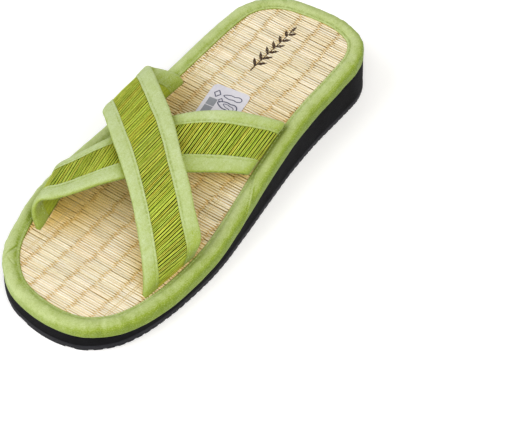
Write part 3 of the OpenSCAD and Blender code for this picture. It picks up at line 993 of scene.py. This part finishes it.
# ------------------------------------------------------------ edge binding
RIM_U = []
_u = 0.0
while _u < len(OUT) - 1e-6:
    RIM_U.append(_u)
    _p = loop_at(OUT, np.array([_u]))[0]
    _d = np.linalg.norm(loop_at(OUT, np.array([_u + 0.01]))[0] - _p)/0.01
    _close = min(math.hypot(_p[0] + 36, _p[1] + 103), math.hypot(_p[0] - 50.5, _p[1] + 6))
    _u += (0.28 if _close < 13 else 0.8)/_d
RIM_U = np.array(RIM_U)
if len(OUT) - RIM_U[-1] < 0.01:
    RIM_U = RIM_U[:-1]
RIM, RIM_IN = rim_frame(RIM_U)
RIM_S = np.concatenate([[0], np.cumsum(np.linalg.norm(np.diff(RIM, axis=0), axis=1))])
RIM_LEN = RIM_S[-1] + np.linalg.norm(RIM[0] - RIM[-1])
_tan = np.stack([-RIM_IN[:, 1], RIM_IN[:, 0]], 1)
_turn = np.arctan2(np.roll(_tan, -1, 0)[:, 1], np.roll(_tan, -1, 0)[:, 0]) - \
    np.arctan2(np.roll(_tan, 1, 0)[:, 1], np.roll(_tan, 1, 0)[:, 0])
_turn = (_turn + math.pi) % (2*math.pi) - math.pi
_step = (np.roll(RIM_S, -1) - np.roll(RIM_S, 1)) % RIM_LEN
RIM_K = np.convolve(np.tile(np.abs(_turn)/_step, 3), np.ones(15)/15, "same")[len(RIM):2*len(RIM)]

# section of the binding: distance inside the rim and height over the mat
SEC = np.array([(3.4, -6.62), (1.6, -6.62), (0.55, -6.55), (0.10, -6.1), (0.0, -5.2), (0.0, -4.2),
                (0.02, -3.1), (0.12, -2.0), (0.38, -1.0), (0.85, -0.15), (1.5, 0.55), (2.4, 1.1),
                (3.4, 1.42), (4.4, 1.56), (5.4, 1.54), (6.3, 1.34), (6.9, 1.12), (7.4, 0.96),
                (7.9, 0.90), (8.35, 0.86), (8.8, 0.68), (9.12, 0.40), (9.16, 0.16), (8.9, 0.06)])
SEC_T = np.concatenate([[0], np.cumsum(np.linalg.norm(np.diff(SEC, axis=0), axis=1))])
STITCH_D = 7.75
STITCHES = int(RIM_LEN/2.7)
STITCH_STEP = RIM_LEN/STITCHES


def rim_s_near(x, y):
    return RIM_S[np.argmin((RIM[:, 0] - x)**2 + (RIM[:, 1] - y)**2)]


S_V = rim_s_near(-38.5, -104.5)       # where the ends of the binding strip are joined
S_C0, S_C1 = rim_s_near(53.2, -26), rim_s_near(44, 12)


def rim_noise(s, a, y, seed, add=0.0):
    """noise that joins up where the rim closes"""
    k = sm(s, RIM_LEN - 24, RIM_LEN)
    return noise2(s/a + add, y, seed)*(1 - k) + noise2((s - RIM_LEN)/a + add, y, seed)*k


def binding_push(s, q):
    """how far the cloth stands out at rim length s and section length q (q from 0 to the end)"""
    Q = q/SEC_T[-1]
    near = np.interp(s, RIM_S, RIM_K)
    tight = np.clip(near*45, 0.12, 1.0)
    free = sm(Q, 0.10, 0.34)*(1 - sm(Q, 0.80, 0.92))
    w = 0.30*rim_noise(s, 4.2, q/16.0, 71, 0.9*np.sin(q/5))*tight
    w = w + 0.16*rim_noise(s, 2.1, q/9.0, 72, 0.5*q/6)*tight
    w = w + 0.22*rim_noise(s, 19.0, q/14.0, 73)
    w = w + 0.10*rim_noise(s, 3.0, q/3.0, 77)
    d = w*free
    # gathers drawn in by each stitch
    ph = (s % STITCH_STEP)/STITCH_STEP
    pull = np.exp(-((q - np.interp(STITCH_D, SEC[12:, 0], SEC_T[12:]))/1.15)**2)
    d = d - (0.16 + 0.10*np.cos(2*math.pi*ph))*pull
    # lower edge: a slight wave where the cloth is glued to the sole
    d = d + 0.10*rim_noise(s, 7.0, q*0, 74)*(1 - sm(Q, 0.12, 0.3))
    # joined ends of the strip: a slanting fold right across, and a short one that leaves it inwards
    L = SEC_T[-1]
    line = lambda s0, q0, ds, dq: ((s - S_V - s0)*dq - (q - q0)*ds)/math.hypot(ds, dq)
    one = line(-11.4, 0.25*L, 15.3, 0.60*L)
    two = line(-2.6, 0.595*L, -7.7, 3.4)
    d = d - 0.34*np.exp(-(one/0.34)**2)*sm(Q, 0.08, 0.2)*(1 - sm(Q, 0.84, 0.90))
    d = d + 0.22*sm(one, 0.15, 0.9)*np.exp(-np.maximum(one, 0)/4.0)*free*(np.abs(s - S_V + 4) < 30)
    d = d - 0.26*np.exp(-(two/0.32)**2)*sm(q - 0.595*L, 0, 0.8)*(1 - sm(q - 0.595*L, 3.4, 4.6))*free
    # long slanting fold on the inner side of the foot
    t = (s - S_C0)/(S_C1 - S_C0)
    dist = (t - 0.14 - 0.78*np.clip((Q - 0.22)/0.62, 0, 1)**1.1)*abs(S_C1 - S_C0)
    d = d - 0.38*np.exp(-(dist/0.55)**2)*free + 0.42*np.exp(-((dist - 2.2)/2.4)**2)*free
    return d


def binding_points(s_idx, qs, lift=0.0):
    d = np.interp(qs, SEC_T, SEC[:, 0])
    h = np.interp(qs, SEC_T, SEC[:, 1])
    e = 0.25
    dd = np.interp(qs + e, SEC_T, SEC[:, 0]) - np.interp(qs - e, SEC_T, SEC[:, 0])
    dh = np.interp(qs + e, SEC_T, SEC[:, 1]) - np.interp(qs - e, SEC_T, SEC[:, 1])
    L = np.hypot(dd, dh)
    L[L < 1e-9] = 1
    nd, nh = -dh/L, dd/L        # outward: away from the sole
    push = binding_push(RIM_S[s_idx][:, None], qs[None, :]) + lift
    D = d[None, :] + nd[None, :]*push
    H = h[None, :] + nh[None, :]*push
    D = np.maximum(D, -0.35)
    P = RIM[s_idx][:, None, :] + RIM_IN[s_idx][:, None, :]*D[..., None]
    return np.dstack([P[..., 0], P[..., 1], top_z(P[..., 1]) + H])


def binding():
    qs = np.unique(np.concatenate([SEC_T, np.linspace(SEC_T[3], SEC_T[-2], 30)]))
    idx = np.arange(len(RIM))
    out = binding_points(idx, qs)
    inn = binding_points(idx, qs, lift=-0.55)
    inn[:, 0], inn[:, -1] = out[:, 0] + [0, 0, 0.05], out[:, -1] + [0, 0, 0.05]
    n, k = len(idx), len(qs)
    V = np.vstack([out.reshape(-1, 3), inn.reshape(-1, 3)])
    N = n*k
    F = [grid(n, k, loop_u=True), grid(n, k, loop_u=True, start=N)[:, ::-1]]
    i = np.arange(n)
    j = (i + 1) % n
    F.append(np.stack([i*k, j*k, N + j*k, N + i*k], 1))
    F.append(np.stack([i*k + k - 1, j*k + k - 1, N + j*k + k - 1, N + i*k + k - 1], 1)[:, ::-1])
    o = make("edge_binding", V, F, BINDING)
    sole_piece(o, "binding_cloth", "binding_main", "binding_toe")


def stitch_mesh(name, places, mat, slot_name, nodes, sole):
    """small raised threads: places are (middle, along, up, half length, half width, height)"""
    ku, kv = 7, 7
    a = np.linspace(-1, 1, ku)
    b = np.arange(kv)*2*math.pi/kv
    V, F, L, base = [], [], [], 0
    for c, t, up, hl, hw, hh in places:
        t = t/np.linalg.norm(t)
        s = np.cross(t, up)
        s /= np.linalg.norm(s)
        up = np.cross(s, t)
        r = np.sqrt(np.clip(1 - np.abs(a)**3.2, 0.02, 1))
        v = c + (a*hl)[:, None, None]*t + (r[:, None]*np.cos(b)*hw)[..., None]*s + \
            ((r[:, None]*np.sin(b)*hh) - 0.35*hh*np.abs(a[:, None])**2)[..., None]*up
        V.append(v.reshape(-1, 3))
        F += tube_faces(ku, kv, base)
        L.append(np.stack([np.repeat(a*hl*2, kv), np.tile(np.arange(kv)*0.4, ku), np.full(ku*kv, base*0.01)], 1))
        base += ku*kv
    o = make(name, np.vstack(V), F, mat, extra={"local": np.vstack(L)}, fix=False)
    if sole:
        return sole_piece(o, slot_name, *nodes)
    return strap_piece(o, slot_name, *nodes)


def binding_stitches():
    q = float(np.interp(STITCH_D, SEC[12:, 0], SEC_T[12:]))
    places = []
    for k in range(STITCHES):
        s = (k + 0.5)*STITCH_STEP
        i = int(np.argmin(np.abs(RIM_S - s)))
        p = binding_points(np.array([i]), np.array([q - 0.3, q, q + 0.3]))[0]
        t = np.array([-RIM_IN[i, 1], RIM_IN[i, 0], 0.0])
        t[2] = (top_z(p[1, 1] + t[1]) - top_z(p[1, 1]))
        up = np.cross(t, p[2] - p[0])
        up = up if up[2] > 0 else -up
        up /= np.linalg.norm(up)
        if in_slot(p[1, 0], p[1, 1], 2.3, 0.5):
            continue
        places.append((p[1] + up*0.04, t, up, 0.92 + 0.12*(rng.random() - 0.5), 0.2, 0.2))
    stitch_mesh("binding_stitches", places, THREAD, "thread", ("binding_seam_main", "binding_seam_toe"), True)


binding()
binding_stitches()


# ------------------------------------------------------------------ straps
class Strap:
    def __init__(self, F, R, tape_f, tape_r, seed, m=22):
        self.u = np.linspace(0, len(F) - 1, (len(F) - 1)*m + 1)
        self.f, self.r = open_at(F, self.u), open_at(R, self.u)
        mid = (self.f + self.r)/2
        self.s = np.concatenate([[0], np.cumsum(np.linalg.norm(np.diff(mid, axis=0), axis=1))])
        # an even walk along the middle of the strap
        n = int(self.s[-1]/0.55)
        s = np.linspace(0, self.s[-1], n)
        u = np.interp(s, self.s, self.u)
        self.f, self.r, self.s, self.u = open_at(F, u), open_at(R, u), s, u
        mid = (self.f + self.r)/2
        self.t = np.gradient(mid, axis=0)
        self.t /= np.linalg.norm(self.t, axis=1, keepdims=True)
        self.w = np.linalg.norm(self.r - self.f, axis=1)
        self.across = (self.r - self.f)/self.w[:, None]
        self.n = np.cross(self.t, self.across)
        self.n /= np.linalg.norm(self.n, axis=1, keepdims=True)
        self.tf, self.tr, self.seed = tape_f, 1 - tape_r, seed
        self.length = s[-1]
        self.stalk = 0.38 if seed == 300 else 0.32

    def at(self, i, x, h):
        """points at the steps i, x millimetres from the front edge, h out along the normal.
        Every layer of the strap shares the same slow waves."""
        X, H = np.asarray(x, float), np.asarray(h, float)
        s = self.s[i]
        wave = 0.22*noise2(s[:, None]/13.0, X/15.0, self.seed) + \
            0.10*noise2(s[:, None]/5.0, X/9.0, self.seed + 1)
        wave = wave*(sm(s, 14, 30)*(1 - sm(s, self.length - 22, self.length - 8)))[:, None]
        return self.f[i][:, None] + self.across[i][:, None]*X[..., None] + \
            self.n[i][:, None]*(H + wave)[..., None]


def shell(name, st, outer, mat, extra_u=0.0):
    """closed band along a strap; outer(i) gives x and h of the section, point by point"""
    i = np.arange(len(st.s))
    X, H = outer(i)
    P = st.at(i, X, H)
    n, k = X.shape
    F = [grid(n, k, loop_v=True), [tuple(range(k)), tuple(range((n - 1)*k, n*k))]]
    loc = np.dstack([np.repeat(st.s[:, None], k, 1), X, H]).reshape(-1, 3)
    return make(name, P.reshape(-1, 3), F, mat, extra={"local": loc})


def lining(st, name, node):
    def sec(i):
        v = np.concatenate([np.linspace(0.03, 0.97, 26), np.linspace(0.97, 0.03, 26)])
        X = v[None, :]*st.w[i][:, None]
        s = st.s[i][:, None]
        top = np.concatenate([np.ones(26), np.zeros(26)])[None, :]
        H = np.where(top > 0, 0.5, -1.0) + 0*X
        H = H - (1 - top)*(0.10*noise2(s/6.0, X/5.0, st.seed + 5) + 0.06*noise2(s/2.4, X/2.4, st.seed + 6))
        return X, H
    o = shell(name, st, sec, LINING)
    strap_piece(o, "strap_lining", node)


SEAM_IN, SEAM_STEP = 1.9, 2.75


def tape(st, name, node, front, visible):
    """a strip of cloth folded round the edge of the strap"""
    def sec(i):
        w = (st.tf*st.w[i] if front else (1 - st.tr)*st.w[i])[:, None]
        s = st.s[i][:, None]
        # x from the folded edge inwards, height; upper face, fold, lower face, then back inside
        a = [(1.00, 1.34, 0), (0.985, 1.58, 0), (0.93, 1.72, 0), (0.87, 1.70, 0)]
        xs = [w*1.0, w - 0.10, w - 0.45, w - 1.0, w - SEAM_IN, w - 2.8, w*0.52, w*0.38, 2.2 + 0*w, 1.2 + 0*w,
              0.55 + 0*w, 0.12 + 0*w, -0.22 + 0*w, -0.42 + 0*w, -0.46 + 0*w, -0.36 + 0*w, -0.05 + 0*w,
              0.5 + 0*w, 1.3 + 0*w, 2.4 + 0*w, w*0.42, w*0.6, w - SEAM_IN, w - 0.9, w - 0.2, w*1.0]
        hs = [1.34, 1.52, 1.62, 1.62, 1.47, 1.60, 1.66, 1.67, 1.62, 1.50,
              1.30, 1.04, 0.70, 0.28, -0.14, -0.54, -0.88,
              -1.14, -1.32, -1.42, -1.46, -1.46, -1.34, -1.42, -1.38, -1.30]
        xi = [w*1.0, w - 1.0, w*0.5, 1.4 + 0*w, 0.7 + 0*w, 0.3 + 0*w, 0.12 + 0*w, 0.3 + 0*w, 0.7 + 0*w,
              1.4 + 0*w, w - 2.2, w - 1.6, w*1.0]
        hi = [-1.04, -1.04, -1.04, -1.04, -0.88, -0.55, -0.2, 0.2, 0.45, 0.56, 0.6, 1.26, 1.29]
        X = np.concatenate([xs, xi], 0)[..., 0].T
        H = np.concatenate([np.array(hs), np.array(hi)])[None, :] + 0*X
        k = len(xs)
        q = np.arange(X.shape[1])[None, :]
        outer = (q < k)
        # cloth that puffs and puckers between the stitches
        ph = np.cos(2*math.pi*s/SEAM_STEP)
        pull = np.exp(-((X - (w - SEAM_IN))/1.3)**2)
        side = np.where(H > 0, 1.0, -1.0)
        puff = 0.17*noise2(s/7.5, X/4.0, st.seed + 11 + front) + 0.10*noise2(s/2.6, X/5.0, st.seed + 13 + front) \
            + 0.05*noise2(s/1.3, X/1.6, st.seed + 15)
        d = puff - (0.05 + 0.12*(0.5 + 0.5*ph))*pull
        fade = np.clip((X + 0.1)/1.4, 0.15, 1)
        H = H + np.where(outer, side*d*fade, 0)
        ex = 0.16*noise2(s/5.0, s*0, st.seed + 17 + front)
        X = X + np.where(outer, 1, 0)*(ex*sm(X, w*0.55, w) + 0.10*noise2(s/3.4, s*0, st.seed + 19)*(1 - sm(X, 0, 2)))
        if not front:
            X = st.w[i][:, None] - X
        return X, H
    o = shell(name, st, sec, TAPE)
    strap_piece(o, "strap_tape", node)


def seams(st, name, node, front):
    places = []
    n = int(st.length/SEAM_STEP)
    for k in range(2, n - 2):
        s = (k + 0.5)*SEAM_STEP
        i = int(np.argmin(np.abs(st.s - s)))
        w = (st.tf if front else 1 - st.tr)*st.w[i]
        x = w - SEAM_IN if front else st.w[i] - w + SEAM_IN
        for h, sg in ((1.52, 1.0), (-1.38, -1.0)):
            c = st.at(np.array([i]), np.array([[x]]), np.array([[h]]))[0, 0]
            if c[2] < top_z(c[1]) + 1.2:
                continue
            places.append((c, st.t[i] + 0.03*(rng.random(3) - 0.5), st.n[i]*sg,
                           0.98 + 0.12*(rng.random() - 0.5), 0.21, 0.2))
    stitch_mesh(name, places, THREAD, "thread", (node,), False)


def grass(st, name, node):
    pal = [lin(170, 196, 58), lin(192, 212, 82), lin(154, 184, 46), lin(212, 218, 92),
           lin(192, 188, 56), lin(162, 176, 46), lin(182, 206, 88), lin(206, 194, 68), lin(132, 160, 36)]
    prob = np.array([0.22, 0.18, 0.15, 0.11, 0.09, 0.08, 0.08, 0.05, 0.04])
    r = np.random.default_rng(st.seed)
    V, F, T, L, base = [], [], [], [], 0
    s, k = 1.2, 0
    ang = np.radians([0, 40, 90, 140, 180, 235, 305])
    # painted shade: each stalk is painted darker on its flanks and underside and a little brighter on its back, so
    # dark lines show between the stalks
    STALK_SIDE_SHADE = np.array([(0.26, 0.28, 0.07), (0.96, 0.97, 0.90), (1.06, 1.06, 1.05), (0.96, 0.97, 0.90),
                      (0.26, 0.28, 0.07), (0.2, 0.22, 0.06), (0.2, 0.22, 0.06)])
    while s < st.length - 1.2:
        wide = st.stalk*(1 + 0.26*(r.random() - 0.5))
        if r.random() < 0.08:
            wide *= 0.75
        gap = 0.06 + 0.07*r.random()
        if k % 2 == 0:
            gap = (0.42 if st.seed == 300 else 0.34) + 0.24*r.random()
        if r.random() < 0.06:
            gap += 0.10
        s += wide
        m = 15
        q = np.linspace(0, 1, m)
        lean = 0.35*(r.random() - 0.5)
        bow = 0.16*(r.random() - 0.5)
        ss = s + lean*(q - 0.5) + bow*np.sin(math.pi*q) + 0.05*noise2(q*7, k*3.1, 81)
        u = np.clip(ss, 0, st.length)
        f = np.stack([np.interp(u, st.s, st.f[:, c]) for c in range(3)], 1)
        a = np.stack([np.interp(u, st.s, st.across[:, c]) for c in range(3)], 1)
        n_ = np.stack([np.interp(u, st.s, st.n[:, c]) for c in range(3)], 1)
        t = np.stack([np.interp(u, st.s, st.t[:, c]) for c in range(3)], 1)
        w = np.interp(u, st.s, st.w)
        x = w*st.tf - 1.3 + q*((st.tr - st.tf)*w + 2.6)
        wave = 0.22*noise2(u/13.0, x/15.0, st.seed) + 0.10*noise2(u/5.0, x/9.0, st.seed + 1)
        wave = wave*sm(u, 14, 30)*(1 - sm(u, st.length - 22, st.length - 8))
        high = 0.07*(r.random() - 0.5) + 0.04*noise2(q*5, k*1.7, 83)
        tall = 0.36 + 0.05*(r.random() - 0.5)
        # the ends are pressed down below the tapes
        press = 0.12*(1 - np.minimum(sm(q, 0.0, 0.10), 1 - sm(q, 0.90, 1.0)))
        c = f + a*x[:, None] + n_*(0.92 + high + wave - press)[:, None]
        rad = wide*(1 + 0.06*noise2(q*6, k*2.3, 85))
        v = c[:, None] + t[:, None]*(rad[:, None]*np.cos(ang))[..., None] + \
            n_[:, None]*(tall*np.sin(ang)[None, :] + 0*rad[:, None])[..., None]
        V.append(v.reshape(-1, 3))
        F += tube_faces(m, 7, base)
        base += m*7
        c0 = np.array(pal[r.choice(len(pal), p=prob)])
        c1 = np.array(pal[r.choice(len(pal), p=prob)])
        blend = (0.5 + 0.5*noise2(q*3.0, k*5.7, 87))[:, None]*0.5
        tint = (c0*(1 - blend) + c1*blend)*(0.84 + 0.44*r.random())
        tint = tint*(1 + 0.10*noise2(s/16.0, q*0 + st.seed, 88))[:, None]
        tint = (tint[:, None, :]*STALK_SIDE_SHADE[None]).reshape(-1, 3)
        T.append(np.hstack([np.clip(tint, 0, 1), np.ones((m*7, 1))]))
        L.append(np.stack([np.full(m*7, float(k)), np.repeat(x, 7), np.tile(np.arange(7)*0.5, m)], 1))
        s += wide + gap
        k += 1
    o = make(name, np.vstack(V), F, STALK, extra={"tint": np.vstack(T), "local": np.vstack(L)}, fix=False)
    strap_piece(o, "grass_stalks", node)


for _nm, _F, _R, _tf, _tr, _seed in (("lower", LF, LR, 0.28, 0.21, 300), ("upper", UF, UR, 0.24, 0.26, 400)):
    _st = Strap(_F, _R, _tf, _tr, _seed)
    lining(_st, _nm + "_strap_lining_cloth", _nm + "_strap_lining")
    grass(_st, _nm + "_strap_stalks", _nm + "_strap_grass")
    tape(_st, _nm + "_strap_front_tape_cloth", _nm + "_strap_front_tape", True, True)
    tape(_st, _nm + "_strap_rear_tape_cloth", _nm + "_strap_rear_tape", False, True)
    seams(_st, _nm + "_strap_front_stitches", _nm + "_strap_front_seam", True)
    seams(_st, _nm + "_strap_rear_stitches", _nm + "_strap_rear_seam", False)


# ------------------------------------------------------------------- stage
def floor():
    m = Mat("floor_paper")
    n = m.noise(m.attr("rest"), 0.02, 3, 0.5)
    m.set(Base_Color=m.ramp(n, [(0.3, (0.93, 0.93, 0.93)), (0.7, (0.95, 0.95, 0.95))]), Roughness=0.9)
    m.b.inputs["Emission Color"].default_value = (1, 1, 1, 1)
    m.b.inputs["Emission Strength"].default_value = 0.22
    m.b.inputs["Specular IOR Level"].default_value = 0.1
    s = 4000
    g = np.linspace(-s, s, 9)
    xy = np.stack(np.meshgrid(g, g, indexing="ij"), -1).reshape(-1, 2)
    o = make("floor", np.column_stack([xy, np.full(len(xy), -0.05)]), [grid(9, 9)], m.m, fix=False)
    return o


floor()


def area(name, loc, target, size, power, color, shape="RECTANGLE", size_y=None):
    l = bpy.data.lights.new(name, "AREA")
    l.shape, l.size, l.size_y = shape, size, size_y or size
    l.energy, l.color = power, color
    o = bpy.data.objects.new(name, l)
    bpy.context.scene.collection.objects.link(o)
    o.location = loc
    o.rotation_euler = (Vector(target) - Vector(loc)).to_track_quat("-Z", "Y").to_euler()
    return o


area("key", (-0.90, -0.90, 1.20), (0, 0, 0.02), 1.2, 12.6, (0.97, 0.985, 1.0))
area("fill", (0.80, -0.90, 1.20), (0, 0, 0.02), 1.2, 8.8, (1.0, 0.985, 0.96))
area("side", (1.30, -0.20, 1.00), (0, 0, 0.02), 1.2, 6.8, (1.0, 0.98, 0.95))
world = bpy.data.worlds.new("studio")
world.use_nodes = True
world.node_tree.nodes["Background"].inputs[0].default_value = (1.0, 0.98, 0.94, 1)
# soft light overhead, and a paler backdrop in the last few degrees above the floor's edge
_nt = world.node_tree
_tc = _nt.nodes.new("ShaderNodeTexCoord")
_xyz = _nt.nodes.new("ShaderNodeSeparateXYZ")
_low = _nt.nodes.new("ShaderNodeMapRange")
_low.inputs["From Min"].default_value, _low.inputs["From Max"].default_value = 0.05, 0.13
_low.inputs["To Min"].default_value, _low.inputs["To Max"].default_value = 0.83, 0.60
_nt.links.new(_tc.outputs["Generated"], _xyz.inputs[0])
_nt.links.new(_xyz.outputs["Z"], _low.inputs["Value"])
_nt.links.new(_low.outputs[0], _nt.nodes["Background"].inputs[1])
bpy.context.scene.world = world
bpy.context.scene.view_settings.view_transform = "Standard"
bpy.context.scene.view_settings.look = "None"
bpy.context.scene.view_settings.exposure = 0.0

cam = bpy.data.cameras.new("camera")
cam.sensor_fit, cam.sensor_width = "HORIZONTAL", 36.0
cam.lens = 2746.897/510*36
cam.clip_start, cam.clip_end = 0.05, 20
cam_o = bpy.data.objects.new("camera", cam)
bpy.context.scene.collection.objects.link(cam_o)
_r, _up, _f = Vector((0.80741, 0.58997, -0.00429)), Vector((-0.43631, 0.60198, 0.66877)), Vector((-0.39714, 0.53811, -0.74345))
cam_o.matrix_world = Matrix.Translation(Vector((624.1, -780.9, 1080.3))*MM) @ Matrix(
    ((_r.x, _up.x, -_f.x), (_r.y, _up.y, -_f.y), (_r.z, _up.z, -_f.z))).to_4x4()
bpy.context.scene.camera = cam_o

bpy.context.view_layer.update()
